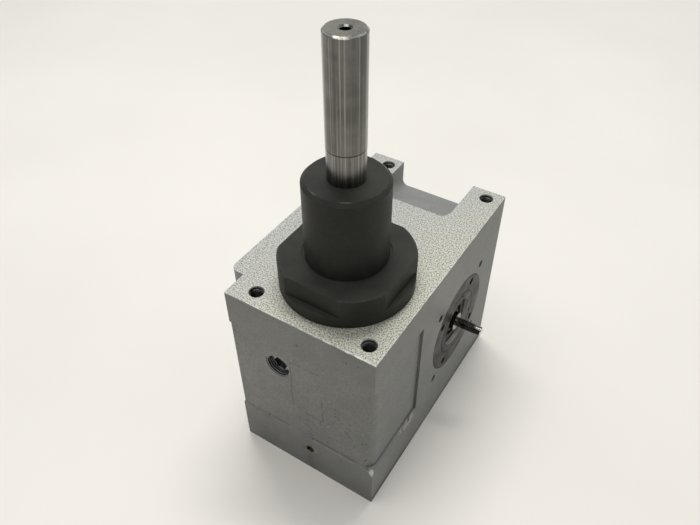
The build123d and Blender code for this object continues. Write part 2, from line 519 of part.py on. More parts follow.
# ---- ball bearings: two on the hollow shaft, two on the worm ----
output_bearing = (OUTPUT_BORE, OUTPUT_OUTER, OUTPUT_BEARING_WIDTH)
output_balls = (OUTPUT_BALL, OUTPUT_BALL_COUNT, OUTPUT_PITCH_RADIUS)
worm_bearing = (WORM_BORE, WORM_OUTER, WORM_BEARING_WIDTH)
worm_balls = (WORM_BALL, WORM_BALL_COUNT, WORM_BEARING_PITCH_RADIUS)
bearings = {
    "output_lower": (level(LOWER_BEARING_BOTTOM), output_bearing, output_balls),
    "output_upper": (level(UPPER_BEARING_BOTTOM), output_bearing, output_balls),
    "worm_left": (across_worm(LEFT_BEARING_START), worm_bearing, worm_balls),
    "worm_right": (across_worm(RIGHT_BEARING_START), worm_bearing, worm_balls),
}
for bearing_name, (seat, sizes, ball_sizes) in bearings.items():
    bore, outer, width = sizes
    ball, ball_count, pitch_radius = ball_sizes
    middle = seat.offset(width / 2)
    spin_axis = Axis(seat.origin, seat.z_dir)
    inner_land = pitch_radius - ball / 3
    outer_land = pitch_radius + ball / 3

    with BuildPart() as outer_ring:
        with BuildSketch(axial_section(seat)):
            with Locations(((outer_land + outer / 2) / 2, width / 2)):
                Rectangle(outer / 2 - outer_land, width)
            chamfer(vertices(), RING_CHAMFER)
            with Locations((pitch_radius, width / 2)):
                Circle(ball / 2 + BALL_CLEARANCE, mode=Mode.SUBTRACT)
        revolve(axis=spin_axis)
    outer_ring.part.label = f"{bearing_name}_outer_ring"
    export_step(outer_ring.part, f"parts/{bearing_name}_outer_ring.step")

    with BuildPart() as inner_ring:
        with BuildSketch(axial_section(seat)):
            with Locations(((inner_land + bore / 2 + FIT) / 2, width / 2)):
                Rectangle(inner_land - bore / 2 - FIT, width)
            chamfer(vertices(), RING_CHAMFER)
            with Locations((pitch_radius, width / 2)):
                Circle(ball / 2 + BALL_CLEARANCE, mode=Mode.SUBTRACT)
        revolve(axis=spin_axis)
    inner_ring.part.label = f"{bearing_name}_inner_ring"
    export_step(inner_ring.part, f"parts/{bearing_name}_inner_ring.step")

    with BuildPart(middle) as balls:
        with PolarLocations(pitch_radius, ball_count):
            Sphere(ball / 2)
    balls.part.label = f"{bearing_name}_balls"
    export_step(balls.part, f"parts/{bearing_name}_balls.step")

    with BuildPart(middle) as cage:
        cage_width = ball + 2 * CAGE_SIDE
        cage_start = middle.offset(-cage_width / 2)
        cage_outside = pitch_radius + CAGE_HALF_THICKNESS
        disc(cage_start, cage_outside, cage_width, pitch_radius - CAGE_HALF_THICKNESS)
        with PolarLocations(pitch_radius, ball_count):
            pocket_length = 4 * CAGE_HALF_THICKNESS
            Cylinder(ball / 2 + BALL_CLEARANCE, pocket_length, rotation=(0, 90, 0), mode=Mode.SUBTRACT)
    cage.part.label = f"{bearing_name}_cage"
    export_step(cage.part, f"parts/{bearing_name}_cage.step")


# ---- worm wheel: involute teeth, twisted to the worm's lead angle ----
BASE_RADIUS = WHEEL_PITCH_RADIUS * cos(PRESSURE_ANGLE)
TOOTH_HALF_WIDTH = (pi * GEAR_MODULE / 2 - BACKLASH) / 2  # on the pitch circle
TOOTH_STEP = 2 * pi / WHEEL_TEETH
HELIX_TWIST = WHEEL_WIDTH * LEAD / (2 * pi * WORM_PITCH_RADIUS * WHEEL_PITCH_RADIUS)


def polar(radius, angle):
    return (radius * cos(angle), radius * sin(angle))


def flank(centre_angle, side):
    """Points up one involute flank, side -1 or 1 of the tooth's centre line."""
    involute = tan(PRESSURE_ANGLE) - PRESSURE_ANGLE
    base_half_angle = TOOTH_HALF_WIDTH / WHEEL_PITCH_RADIUS + involute
    last_roll = sqrt((WHEEL_TIP_RADIUS / BASE_RADIUS) ** 2 - 1)
    points = []
    for i in range(FLANK_POINTS + 1):
        roll = last_roll * i / FLANK_POINTS
        radius = BASE_RADIUS * sqrt(1 + roll**2)
        half_angle = base_half_angle - (roll - atan(roll))
        points.append(polar(radius, centre_angle + side * half_angle))
    root = polar(WHEEL_ROOT_RADIUS, centre_angle + side * base_half_angle)
    return root, points


def wheel_outline(plane, turn):
    """The whole toothed outline, turned by an angle about the output axis."""
    with BuildSketch(plane) as outline:
        with BuildLine():
            for i in range(WHEEL_TEETH):
                centre = pi / 2 + (i + 0.5) * TOOTH_STEP + turn
                right_root, right_points = flank(centre, -1)
                left_root, left_points = flank(centre, 1)
                next_root = flank(centre + TOOTH_STEP, -1)[0]
                Line(right_root, right_points[0])
                Spline(*right_points)
                ThreePointArc(right_points[-1], polar(WHEEL_TIP_RADIUS, centre), left_points[-1])
                Spline(*reversed(left_points))
                Line(left_points[0], left_root)
                gap_middle = polar(WHEEL_ROOT_RADIUS, centre + TOOTH_STEP / 2)
                ThreePointArc(left_root, gap_middle, next_root)
        make_face()
    return outline.sketch


with BuildPart() as worm_wheel:
    lower_outline = wheel_outline(level(WHEEL_BOTTOM), -HELIX_TWIST / 2)
    upper_outline = wheel_outline(level(WHEEL_TOP), HELIX_TWIST / 2)
    loft([lower_outline, upper_outline], ruled=True)
    disc(level(WHEEL_BOTTOM), BEARING_SHOULDER_RADIUS + FIT, WHEEL_WIDTH, mode=Mode.SUBTRACT)
    round_holes(level(WHEEL_TOP), M5_SHANK_HOLE, WHEEL_WIDTH, wheel_screw_spots, tip=False)
worm_wheel.part.label = "worm_wheel"
export_step(worm_wheel.part, "parts/worm_wheel.step")

with BuildPart() as worm_wheel_screws:
    cap_screws(level(WHEEL_TOP), wheel_screw_spots, M5_RADIUS, WHEEL_SCREW_LENGTH, *M5_HEAD)
worm_wheel_screws.part.label = "worm_wheel_screws"
export_step(worm_wheel_screws.part, "parts/worm_wheel_screws.step")

# ---- hollow shaft: bearing journals, hub flange, keyway and a slotted collet on top ----
with BuildPart() as hollow_shaft:
    disc(level(HOLLOW_BOTTOM), OUTPUT_BORE / 2, NUT_TOP - HOLLOW_BOTTOM)
    shoulder_bottom = LOWER_BEARING_BOTTOM + OUTPUT_BEARING_WIDTH
    disc(level(shoulder_bottom), BEARING_SHOULDER_RADIUS, UPPER_BEARING_BOTTOM - shoulder_bottom)
    disc(level(HUB_FLANGE_BOTTOM), HUB_FLANGE_RADIUS, WHEEL_BOTTOM - HUB_FLANGE_BOTTOM)
    disc(level(NUT_TOP), COLLET_RADIUS, COLLET_TOP - NUT_TOP)
    chamfer(edges().group_by(Axis.Z)[-1], 0.5)
    disc(level(HOLLOW_BOTTOM), CLAMPED_RADIUS + FIT, COLLET_TOP, mode=Mode.SUBTRACT)
    round_holes(level(WHEEL_BOTTOM), M5_RADIUS + FIT, THROUGH, wheel_screw_spots, tip=False)
    keyway_top = KEY_MIDDLE + KEY_LENGTH / 2
    keyway_radius = CLAMPED_RADIUS - KEY_SEAT_DEPTH + KEY_HEIGHT + KEY_TOP_GAP
    with BuildSketch(level(HOLLOW_BOTTOM)):
        with Locations((keyway_radius / 2, 0)):
            Rectangle(keyway_radius, KEY_WIDTH + 2 * FIT)
    extrude(amount=keyway_top - HOLLOW_BOTTOM, mode=Mode.SUBTRACT)
    with BuildSketch(level(COLLET_TOP)):
        with PolarLocations(COLLET_RADIUS, COLLET_SLOTS):
            Rectangle(COLLET_RADIUS, COLLET_SLOT_WIDTH)
    extrude(amount=-COLLET_SLOT_DEPTH, mode=Mode.SUBTRACT)
    hollow_groove = level(LOWER_BEARING_BOTTOM - CIRCLIP_GROOVE_WIDTH)
    groove_bottom = OUTPUT_BORE / 2 - 0.8
    disc(hollow_groove, OUTPUT_BORE / 2, CIRCLIP_GROOVE_WIDTH, groove_bottom, mode=Mode.SUBTRACT)
hollow_shaft.part.label = "hollow_shaft"
export_step(hollow_shaft.part, "parts/hollow_shaft.step")

with BuildPart() as output_circlip:
    circlip(hollow_groove.offset(0.05), OUTPUT_BORE / 2 - 0.75, 3)
output_circlip.part.label = "output_circlip"
export_step(output_circlip.part, "parts/output_circlip.step")

with BuildPart() as output_spacer:
    spacer_bottom = UPPER_BEARING_BOTTOM + OUTPUT_BEARING_WIDTH
    spacer_height = NUT_BOTTOM - spacer_bottom
    disc(level(spacer_bottom), BEARING_SHOULDER_RADIUS, spacer_height, OUTPUT_BORE / 2 + FIT)
output_spacer.part.label = "output_spacer"
export_step(output_spacer.part, "parts/output_spacer.step")

with BuildPart() as output_shaft_seal:
    seal_inner = BEARING_SHOULDER_RADIUS + SEAL_GAP
    disc(level(SEAL_BOTTOM), OUTPUT_OUTER / 2, SEAL_WIDTH, seal_inner)
    disc(level(SEAL_BOTTOM), OUTPUT_OUTER / 2 - 2, 4, seal_inner + 2, mode=Mode.SUBTRACT)
output_shaft_seal.part.label = "output_shaft_seal"
export_step(output_shaft_seal.part, "parts/output_shaft_seal.step")

# ---- output shaft and its key ----
key_seat = Plane(
    origin=(CLAMPED_RADIUS - KEY_SEAT_DEPTH, 0, KEY_MIDDLE), x_dir=(0, 1, 0), z_dir=(1, 0, 0)
)
with BuildPart() as output_shaft:
    disc(level(OUTPUT_SHAFT_BOTTOM), CLAMPED_RADIUS, OUTPUT_SHAFT_TOP - OUTPUT_SHAFT_BOTTOM)
    disc(level(GROUND_END_BOTTOM), OUTPUT_SHAFT_RADIUS, OUTPUT_SHAFT_TOP - GROUND_END_BOTTOM)
    chamfer(edges().group_by(Axis.Z)[-1] + edges().group_by(Axis.Z)[0], 1)
    round_holes(level(OUTPUT_SHAFT_TOP), SHAFT_TAP_RADIUS, SHAFT_TAP_DEPTH, [(0, 0)], 0.8)
    with BuildSketch(key_seat):
        SlotOverall(KEY_LENGTH + 2 * FIT, KEY_WIDTH + 2 * FIT, rotation=90)
    extrude(amount=OUTPUT_SHAFT_RADIUS, mode=Mode.SUBTRACT)
output_shaft.part.label = "output_shaft"
export_step(output_shaft.part, "parts/output_shaft.step")

with BuildPart() as output_shaft_key:
    with BuildSketch(key_seat):
        SlotOverall(KEY_LENGTH, KEY_WIDTH, rotation=90)
    extrude(amount=KEY_HEIGHT)
output_shaft_key.part.label = "output_shaft_key"
export_step(output_shaft_key.part, "parts/output_shaft_key.step")

# ---- clamp nut with four wrench flats, and the clamp sleeve above it ----
with BuildPart() as clamp_nut:
    disc(level(NUT_BOTTOM), NUT_RADIUS, NUT_TOP - NUT_BOTTOM, OUTPUT_BORE / 2 + FIT)
    chamfer(edges().group_by(Axis.Z)[-1].sort_by(SortBy.RADIUS)[-1], NUT_CHAMFER)
    with BuildSketch(level(NUT_TOP)):
        Circle(NUT_RADIUS + 1)
        Rectangle(2 * NUT_FLAT_DISTANCE, 2 * NUT_FLAT_DISTANCE, mode=Mode.SUBTRACT)
    extrude(amount=NUT_LEDGE - NUT_TOP, mode=Mode.SUBTRACT)
    relief = level(NUT_TOP - NUT_RELIEF_DEPTH)
    relief_outside = SLEEVE_RADIUS + NUT_RELIEF_WIDTH
    disc(relief, relief_outside, NUT_RELIEF_DEPTH, SLEEVE_RADIUS + FIT, mode=Mode.SUBTRACT)
clamp_nut.part.label = "clamp_nut"
export_step(clamp_nut.part, "parts/clamp_nut.step")

with BuildPart() as clamp_sleeve:
    disc(level(NUT_TOP), SLEEVE_RADIUS, SLEEVE_TOP - NUT_TOP)
    chamfer(edges().group_by(Axis.Z)[-1], SLEEVE_CHAMFER)
    disc(level(NUT_TOP), COLLET_RADIUS + FIT, COLLET_TOP + 0.5 - NUT_TOP, mode=Mode.SUBTRACT)
    disc(level(NUT_TOP), CLAMPED_RADIUS + FIT, SLEEVE_TOP - NUT_TOP, mode=Mode.SUBTRACT)
clamp_sleeve.part.label = "clamp_sleeve"
export_step(clamp_sleeve.part, "parts/clamp_sleeve.step")

# ---- oil plugs ----
with BuildPart() as oil_fill_plug:
    plug_face = fill_mouth.offset(-FILL_PLUG_RECESS)
    disc(plug_face, FILL_RADIUS - FILL_THREAD_DEPTH - FIT, -FILL_PLUG_LENGTH)
    chamfer(edges().group_by(Axis.Y)[0], 0.6)
    with BuildSketch(plug_face) as socket:
        RegularPolygon(FILL_SOCKET / sqrt(3), 6)
    extrude(socket.sketch, amount=-FILL_SOCKET_DEPTH, mode=Mode.SUBTRACT)
oil_fill_plug.part.label = "oil_fill_plug"
export_step(oil_fill_plug.part, "parts/oil_fill_plug.step")

with BuildPart() as oil_drain_plug:
    disc(drain_face, DRAIN_RADIUS, -DRAIN_PLUG_LENGTH)
    chamfer(edges().group_by(Axis.Y)[0], 0.4)
    with BuildSketch(drain_face) as socket:
        RegularPolygon(DRAIN_SOCKET / sqrt(3), 6)
    extrude(socket.sketch, amount=-DRAIN_SOCKET_DEPTH, mode=Mode.SUBTRACT)
oil_drain_plug.part.label = "oil_drain_plug"
export_step(oil_drain_plug.part, "parts/oil_drain_plug.step")
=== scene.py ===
import json
import math

import bmesh
import bpy
from mathutils import Matrix, Vector


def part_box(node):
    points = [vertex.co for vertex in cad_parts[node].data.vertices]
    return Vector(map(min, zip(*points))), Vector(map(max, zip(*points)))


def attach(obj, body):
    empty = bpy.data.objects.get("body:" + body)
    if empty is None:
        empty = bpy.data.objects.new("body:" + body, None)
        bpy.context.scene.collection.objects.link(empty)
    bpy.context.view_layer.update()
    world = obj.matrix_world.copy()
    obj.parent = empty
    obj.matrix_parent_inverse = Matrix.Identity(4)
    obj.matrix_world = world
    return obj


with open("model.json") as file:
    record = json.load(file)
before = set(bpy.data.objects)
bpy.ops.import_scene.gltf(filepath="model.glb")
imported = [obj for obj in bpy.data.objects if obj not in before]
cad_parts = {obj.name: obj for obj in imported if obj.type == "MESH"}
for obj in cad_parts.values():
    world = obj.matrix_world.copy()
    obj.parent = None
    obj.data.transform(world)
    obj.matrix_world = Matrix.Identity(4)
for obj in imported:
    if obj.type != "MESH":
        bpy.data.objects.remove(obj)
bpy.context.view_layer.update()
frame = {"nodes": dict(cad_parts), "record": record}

MM = 0.001

# Places that the looks need, partly worked out from the frame, partly given as numbers.
HOUSING_LOW, HOUSING_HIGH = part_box("housing")
COVER_LOW, COVER_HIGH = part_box("input_cover")
NUT_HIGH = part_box("clamp_nut")[1]
SHAFT_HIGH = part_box("output_shaft")[1]
STUB_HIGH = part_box("worm_shaft")[1]
MOUNTS = {mount["name"]: mount for mount in frame["record"]["mounts"]}
INPUT_AXIS = Vector(MOUNTS["input_bolts"]["pos_m"])
FACE_RIGHT = MOUNTS["input_face"]["pos_m"][0]
FACE_FRONT = HOUSING_LOW.y
FACE_TOP = HOUSING_HIGH.z
END_CHAMFER = 1 * MM  # on the output shaft's free end
GROUND_SEAM = SHAFT_HIGH.z - END_CHAMFER - MOUNTS["output_shaft"]["dims"]["length_mm"] * MM
COVER_RADIUS = (COVER_HIGH.y - COVER_LOW.y) / 2
RING_LOW, RING_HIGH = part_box("bearing_adjusting_ring")
JOINT_RADIUS = (RING_HIGH.y - RING_LOW.y) / 2
RECESS_RADIUS = 16.3 * MM
DRAIN_SPOT_LOW, DRAIN_SPOT_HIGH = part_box("oil_drain_plug")
DRAIN_X, DRAIN_LOW = (DRAIN_SPOT_LOW.x + DRAIN_SPOT_HIGH.x) / 2, DRAIN_SPOT_LOW.z
DRAIN_RADIUS = (DRAIN_SPOT_HIGH.x - DRAIN_SPOT_LOW.x) / 2

FILL_LOW, FILL_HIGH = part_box("oil_fill_plug")
FILL_X, FILL_HEIGHT = (FILL_LOW.x + FILL_HIGH.x) / 2, (FILL_LOW.z + FILL_HIGH.z) / 2
FILL_RADIUS, FILL_THREAD_PITCH = 8.2 * MM, 1.34 * MM

WAIST_BOTTOM = 35 * MM  # top of the full-width band at the housing's foot
HOLE_REACH = 22 * MM  # deeper than every tapped hole, short of the far faces
PAD_RIGHT = HOUSING_LOW.x + 10 * MM  # surfaces left of this belong to the rough pad
CHIP_SPOT = (FACE_RIGHT, -2 * MM, 31.5 * MM)
ROUGH_SPOT = (14 * MM, FACE_FRONT, 62 * MM)
SHAFT_RIM_RADIUS = 9.6 * MM
SLEEVE_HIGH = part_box("clamp_sleeve")[1]
SLEEVE_CHAMFER = 2 * MM
SLEEVE_RIM = SLEEVE_HIGH.x - SLEEVE_CHAMFER
# The top's two paint colours carry painted light: paler and yellower in front, greyer behind.
TOP_PAINT_AND_LIGHT_FRONT, TOP_PAINT_AND_LIGHT_BEHIND = (0.56, 0.56, 0.485), (0.50, 0.505, 0.475)
SCRATCH_WIDTH = 0.45 * MM
# Rubbed lines on the front face, millimetres: X and Z of each end.
FRONT_SCRATCHES = (
    (-10, 58, -9.5, 99),
    (-10, 58, 10.5, 57.5),
    (11, 57, 11, 82),
    (-9.5, 99, 11, 100),
    (-38, 31.5, -21, 31),
    (-6, 47, 3, 44),
    (14, 60, 21, 58),
    (-2, 52, 6, 50.5),
    (19, 77, 24, 75),
    (25, 62, 31, 56),
    (-17, 63, -11, 60),
)


def pattern_spots(mount):
    """The hole mouths of a bolt pattern: a rectangle on the top face, a circle on the right face."""
    middle = Vector(mount["pos_m"])
    dims = mount["dims"]
    if "pcd_mm" in dims:
        reach = dims["pcd_mm"] / 2 * MM
        angles = [math.radians(45 + 90 * i) for i in range(dims["count"])]
        return [middle + Vector((0, reach * math.cos(a), reach * math.sin(a))) for a in angles]
    half_x, half_y = dims["spacing_x_mm"] / 2 * MM, dims["spacing_y_mm"] / 2 * MM
    return [middle + Vector((i * half_x, j * half_y, 0)) for i in (-1, 1) for j in (-1, 1)]


# ---- materials ----
class Look:
    """A procedural material: its shader, and short calls for the nodes that feed it."""

    def __init__(self, name, metallic=0.0, roughness=0.5, specular=0.5):
        self.material = bpy.data.materials.new(name)
        self.material.use_nodes = True
        self.tree = self.material.node_tree
        self.shader = self.tree.nodes["Principled BSDF"]
        self.shader.inputs["Metallic"].default_value = metallic
        self.shader.inputs["Roughness"].default_value = roughness
        self.shader.inputs["Specular IOR Level"].default_value = specular
        coordinates = self.tree.nodes.new("ShaderNodeTexCoord")
        self.place = coordinates.outputs["Object"]
        place_parts = self.node("ShaderNodeSeparateXYZ", {0: self.place})
        self.x, self.y, self.z = place_parts.outputs
        facing = self.node("ShaderNodeSeparateXYZ", {0: coordinates.outputs["Normal"]})
        self.facing_x, self.facing_y, self.facing_z = facing.outputs

    def node(self, kind, inputs, **settings):
        made = self.tree.nodes.new(kind)
        for key, value in settings.items():
            setattr(made, key, value)
        for key, value in inputs.items():
            if isinstance(value, bpy.types.NodeSocket):
                self.tree.links.new(value, made.inputs[key])
            else:
                made.inputs[key].default_value = value
        return made

    def noise(self, scale, detail=2.0, roughness=0.5, vector=None, distortion=0.0):
        """Noise whose scale counts features per metre."""
        inputs = {
            "Vector": vector or self.place,
            "Scale": scale,
            "Detail": detail,
            "Roughness": roughness,
            "Distortion": distortion,
        }
        return self.node("ShaderNodeTexNoise", inputs).outputs[0]

    def cells(self, scale):
        inputs = {"Vector": self.place, "Scale": scale}
        return self.node("ShaderNodeTexVoronoi", inputs).outputs["Distance"]

    def calc(self, operation, first, second=0.0):
        return self.node("ShaderNodeMath", {0: first, 1: second}, operation=operation).outputs[0]

    def span(self, value, low, high, to_low=0.0, to_high=1.0):
        """Carries a value smoothly from one span to another, and holds it at the ends."""
        inputs = {0: value, 1: low, 2: high, 3: to_low, 4: to_high}
        made = self.node("ShaderNodeMapRange", inputs, interpolation_type="SMOOTHSTEP")
        return made.outputs[0]

    def blend(self, factor, first, second):
        inputs = {"Factor": factor, 6: tuple(first) + (1,) if isinstance(first, tuple) else first}
        inputs[7] = tuple(second) + (1,) if isinstance(second, tuple) else second
        made = self.node("ShaderNodeMix", inputs, data_type="RGBA")
        return made.outputs[2]

    def stretch(self, scale):
        """The place, scaled unevenly, for streaks and grain."""
        inputs = {"Vector": self.place, "Scale": scale}
        return self.node("ShaderNodeMapping", inputs).outputs[0]

    def vector(self, x=0.0, y=0.0, z=0.0):
        return self.node("ShaderNodeCombineXYZ", {0: x, 1: y, 2: z}).outputs[0]

    def near(self, value, target, width):
        """1 where a value is at the target, falling to 0 a width away."""
        gap = self.calc("ABSOLUTE", self.calc("SUBTRACT", value, target))
        return self.span(gap, 0.0, width, 1.0, 0.0)

    def radius(self, axis):
        """Distance from the output axis (z) or from the worm axis (x)."""
        if axis == "z":
            across = self.calc("POWER", self.x, 2.0), self.calc("POWER", self.y, 2.0)
        else:
            from_y = self.calc("SUBTRACT", self.y, INPUT_AXIS.y)
            from_z = self.calc("SUBTRACT", self.z, INPUT_AXIS.z)
            across = self.calc("POWER", from_y, 2.0), self.calc("POWER", from_z, 2.0)
        return self.calc("SQRT", self.calc("ADD", *across))

    def distance(self, target, weights):
        """Distance from a spot, with each axis weighted."""
        parts = []
        for value, spot, weight in zip((self.x, self.y, self.z), target, weights):
            parts.append(self.calc("POWER", self.times(self.calc("SUBTRACT", value, spot), weight), 2.0))
        return self.calc("SQRT", self.calc("ADD", self.calc("ADD", parts[0], parts[1]), parts[2]))

    def inside_holes(self, mount_name, margin):
        """1 on the walls and floors of a bolt pattern's holes, below their chamfered mouths."""
        mount = MOUNTS[mount_name]
        axis = Vector(mount["axis"])
        weights = tuple(1.0 - abs(part) for part in axis)
        reach = mount["dims"]["hole_r_mm"] * MM + margin
        gaps = [self.distance(tuple(spot), weights) for spot in pattern_spots(mount)]
        nearest = gaps[0]
        for gap in gaps[1:]:
            nearest = self.calc("MINIMUM", nearest, gap)
        along, mouth = (self.z, FACE_TOP) if axis.z else (self.x, FACE_RIGHT)
        sunk = self.span(along, mouth - 1.2 * MM, mouth - 0.5 * MM, 1.0, 0.0)
        sunk = self.times(sunk, self.span(along, mouth - HOLE_REACH - MM, mouth - HOLE_REACH))
        return self.times(self.span(nearest, reach, reach + 0.15 * MM, 1.0, 0.0), sunk)

    def scratch(self, start_x, start_z, end_x, end_z):
        """1 on a line between two spots of the XZ plane (millimetres), 0 beside it."""
        length = math.hypot(end_x - start_x, end_z - start_z)
        along_x, along_z = (end_x - start_x) / length, (end_z - start_z) / length
        from_x = self.calc("SUBTRACT", self.x, start_x * MM)
        from_z = self.calc("SUBTRACT", self.z, start_z * MM)
        along = self.calc("ADD", self.times(from_x, along_x), self.times(from_z, along_z))
        beside = self.calc("SUBTRACT", self.times(from_x, along_z), self.times(from_z, along_x))
        wobble = self.times(self.calc("SUBTRACT", self.noise(90, 2), 0.5), 1.2 * MM)
        line = self.near(self.calc("ADD", beside, wobble), 0.0, SCRATCH_WIDTH)
        middle = length / 2 * MM
        from_middle = self.calc("ABSOLUTE", self.calc("SUBTRACT", along, middle))
        ends = self.span(from_middle, middle - MM, middle, 1.0, 0.0)
        return self.times(line, ends)

    def times(self, *values):
        product = values[0]
        for value in values[1:]:
            product = self.calc("MULTIPLY", product, value)
        return product

    def most(self, *values):
        largest = values[0]
        for value in values[1:]:
            largest = self.calc("MAXIMUM", largest, value)
        return largest

    def bump(self, height, depth, strength=1.0, under=None):
        """Raises the surface by depth metres where height is 1, on top of another bump."""
        inputs = {"Height": height, "Distance": depth, "Strength": strength}
        if under:
            inputs["Normal"] = under
        return self.node("ShaderNodeBump", inputs).outputs[0]

    def finish(self, colour=None, roughness=None, normal=None):
        links = {"Base Color": colour, "Roughness": roughness, "Normal": normal}
        for socket, value in links.items():
            if value is not None:
                self.tree.links.new(value, self.shader.inputs[socket])
        return self.material


def silver_paint():
    """Sprayed aluminium paint on cast faces: fine dark-flecked grain on top, smoother sides."""
    look = Look("silver_paint", metallic=0.3, roughness=0.5)
    upward = look.span(look.facing_z, 0.97, 0.995)
    upward = look.times(upward, look.span(look.z, FACE_TOP - 4 * MM, FACE_TOP - 2 * MM))
    front = look.span(look.facing_y, -0.9, -0.6, 1.0, 0.0)
    right = look.span(look.facing_x, 0.6, 0.9)
    grain = look.noise(1250, 2, 0.55)
    fine = look.noise(1000, 3, 0.65)
    drift = look.noise(14, 3, 0.5)
    cloud = look.noise(75, 4, 0.55)

    # top: pale paint with fine dark grain; painted light makes it paler and yellower towards the front,
    # greyer behind
    away = look.calc("SUBTRACT", look.y, look.times(look.x, 1.6))
    behind = look.span(look.calc("ADD", away, look.times(drift, 120 * MM)), 30 * MM, 150 * MM)
    pale = look.blend(behind, TOP_PAINT_AND_LIGHT_FRONT, TOP_PAINT_AND_LIGHT_BEHIND)
    grey = look.blend(behind, (0.20, 0.20, 0.165), (0.22, 0.222, 0.205))
    top_colour = look.blend(look.span(grain, 0.40, 0.56, 1.0, 0.0), pale, grey)
    # sides: flat grey with slow clouds
    side_colour = look.blend(look.span(fine, 0.3, 0.7), (0.160, 0.165, 0.157), (0.245, 0.25, 0.238))
    side_colour = look.blend(look.span(cloud, 0.35, 0.7, 0.0, 0.5), side_colour, (0.155, 0.16, 0.15))
    side_colour = look.blend(look.span(drift, 0.45, 0.7, 0.0, 0.5), side_colour, (0.245, 0.25, 0.238))
    # painted shade low on the front, darkest at the foot
    low = look.span(look.z, 4 * MM, 44 * MM, 1.0, 0.0)
    low = look.times(low, front, look.span(cloud, 0.3, 0.7, 0.7, 1.0))
    side_colour = look.blend(look.times(low, 0.4), side_colour, (0.085, 0.088, 0.08))
    # the rough pad is paler and bluer
    pad = look.span(look.x, PAD_RIGHT - 0.5 * MM, PAD_RIGHT + 0.5 * MM, 1.0, 0.0)
    side_colour = look.blend(look.times(pad, 0.9), side_colour, (0.29, 0.295, 0.305))
    colour = look.blend(upward, side_colour, top_colour)

    # casting pores, thickest on the middle of the front face
    pores = look.span(look.cells(260), 0.10, 0.22, 1.0, 0.0)
    from_rough = look.distance(ROUGH_SPOT, (1.0, 1.0, 0.8))
    rough_spot = look.span(from_rough, 8 * MM, 34 * MM, 0.14, 0.0)
    pore_field = look.span(look.calc("ADD", look.noise(38, 3, 0.6), rough_spot), 0.53, 0.61)
    specks = look.times(pores, pore_field, look.most(front, look.times(right, 0.5)))
    colour = look.blend(look.times(specks, 0.8), colour, (0.05, 0.05, 0.046))

    # painted shade as a broken dark line in the crease of the waist's lower step, a painted highlight as
    # a broken light line on the band's edge below it, and rubbed paint with a painted highlight at the
    # band's corner
    outline_breaks = look.span(look.noise(55, 3, 0.6), 0.42, 0.56)
    step_shade_and_highlight = look.times(look.near(look.z, WAIST_BOTTOM - 0.2 * MM, 0.8 * MM), front, outline_breaks)
    colour = look.blend(look.times(step_shade_and_highlight, 0.7), colour, (0.05, 0.05, 0.047))
    # painted highlight: a broken light line along the band's edge
    step_shade_and_highlight = look.times(look.near(look.z, WAIST_BOTTOM - 2.2 * MM, 0.9 * MM), front, outline_breaks)
    step_shade_and_highlight = look.times(step_shade_and_highlight, look.span(look.x, -10 * MM, 30 * MM, 0.1, 0.6))
    colour = look.blend(step_shade_and_highlight, colour, (0.34, 0.345, 0.33))
    # rubbed paint and a painted highlight at the band's front right corner
    corner_wear_and_highlight = look.distance((FACE_RIGHT - 0.5 * MM, FACE_FRONT, WAIST_BOTTOM - 2 * MM), (1.0, 1.0, 0.55))
    colour = look.blend(look.span(corner_wear_and_highlight, 0.6 * MM, 2.6 * MM, 0.9, 0.0), colour, (0.66, 0.68, 0.66))

    # rubbed scratches on the front face
    scratches = look.most(*[look.scratch(*ends) for ends in FRONT_SCRATCHES])
    broken = look.span(look.noise(240, 2, 0.6), 0.38, 0.50)
    scratches = look.times(scratches, front, broken)
    colour = look.blend(look.times(scratches, 0.85), colour, (0.04, 0.04, 0.037))

    # knocked paint low on the right face: bared metal with darker gouges
    chip_gap = look.distance(CHIP_SPOT, (1.0, 0.16, 0.42))
    chip_edge = look.noise(230, 4, 0.75)
    chip_reach = look.calc("SUBTRACT", 3.1 * MM, look.times(chip_edge, 3.0 * MM))
    chips = look.times(right, look.span(look.calc("SUBTRACT", chip_reach, chip_gap), 0.0, 0.25 * MM))
    gouge = look.times(chips, look.span(look.noise(170, 3, 0.6), 0.52, 0.60))
    bared = look.times(chips, look.span(fine, 0.35, 0.65, 0.35, 0.9))
    colour = look.blend(bared, colour, (0.44, 0.435, 0.41))
    colour = look.blend(gouge, colour, (0.07, 0.065, 0.055))

    # painted shade: brown darkening along the foot of the right face; and a stain under the drain plug
    foot_shade = look.span(look.z, 1.5 * MM, 7 * MM, 1.0, 0.0)
    foot_shade = look.times(foot_shade, right, look.span(look.noise(60, 3, 0.6), 0.35, 0.6, 0.35, 1.0))
    colour = look.blend(look.times(foot_shade, 0.85), colour, (0.05, 0.042, 0.026))
    stain_side = look.calc("ADD", look.x, look.times(look.noise(180, 2), 2 * MM))
    stain = look.times(look.near(stain_side, DRAIN_X + 1 * MM, 4.5 * MM), front)
    stain = look.times(stain, look.span(look.z, DRAIN_LOW - 1 * MM, DRAIN_LOW + 1 * MM, 1.0, 0.0))
    colour = look.blend(look.times(stain, 0.5), colour, (0.11, 0.105, 0.07))

    # worn bright metal and a painted highlight along the outer edges
    worn = look.span(look.noise(260, 3, 0.6), 0.38, 0.62, 0.15, 1.0)
    top_rim = look.near(look.z, FACE_TOP, 1.1 * MM)
    front_rim = look.near(look.y, FACE_FRONT, 1.2 * MM)
    right_rim = look.near(look.x, FACE_RIGHT, 0.5 * MM)
    edges = look.most(look.times(top_rim, front_rim), look.times(top_rim, right_rim, 0.6))
    edges = look.times(edges, worn, look.span(look.x, -30 * MM, FACE_RIGHT, 0.45, 1.0))
    colour = look.blend(edges, colour, (0.80, 0.80, 0.76))
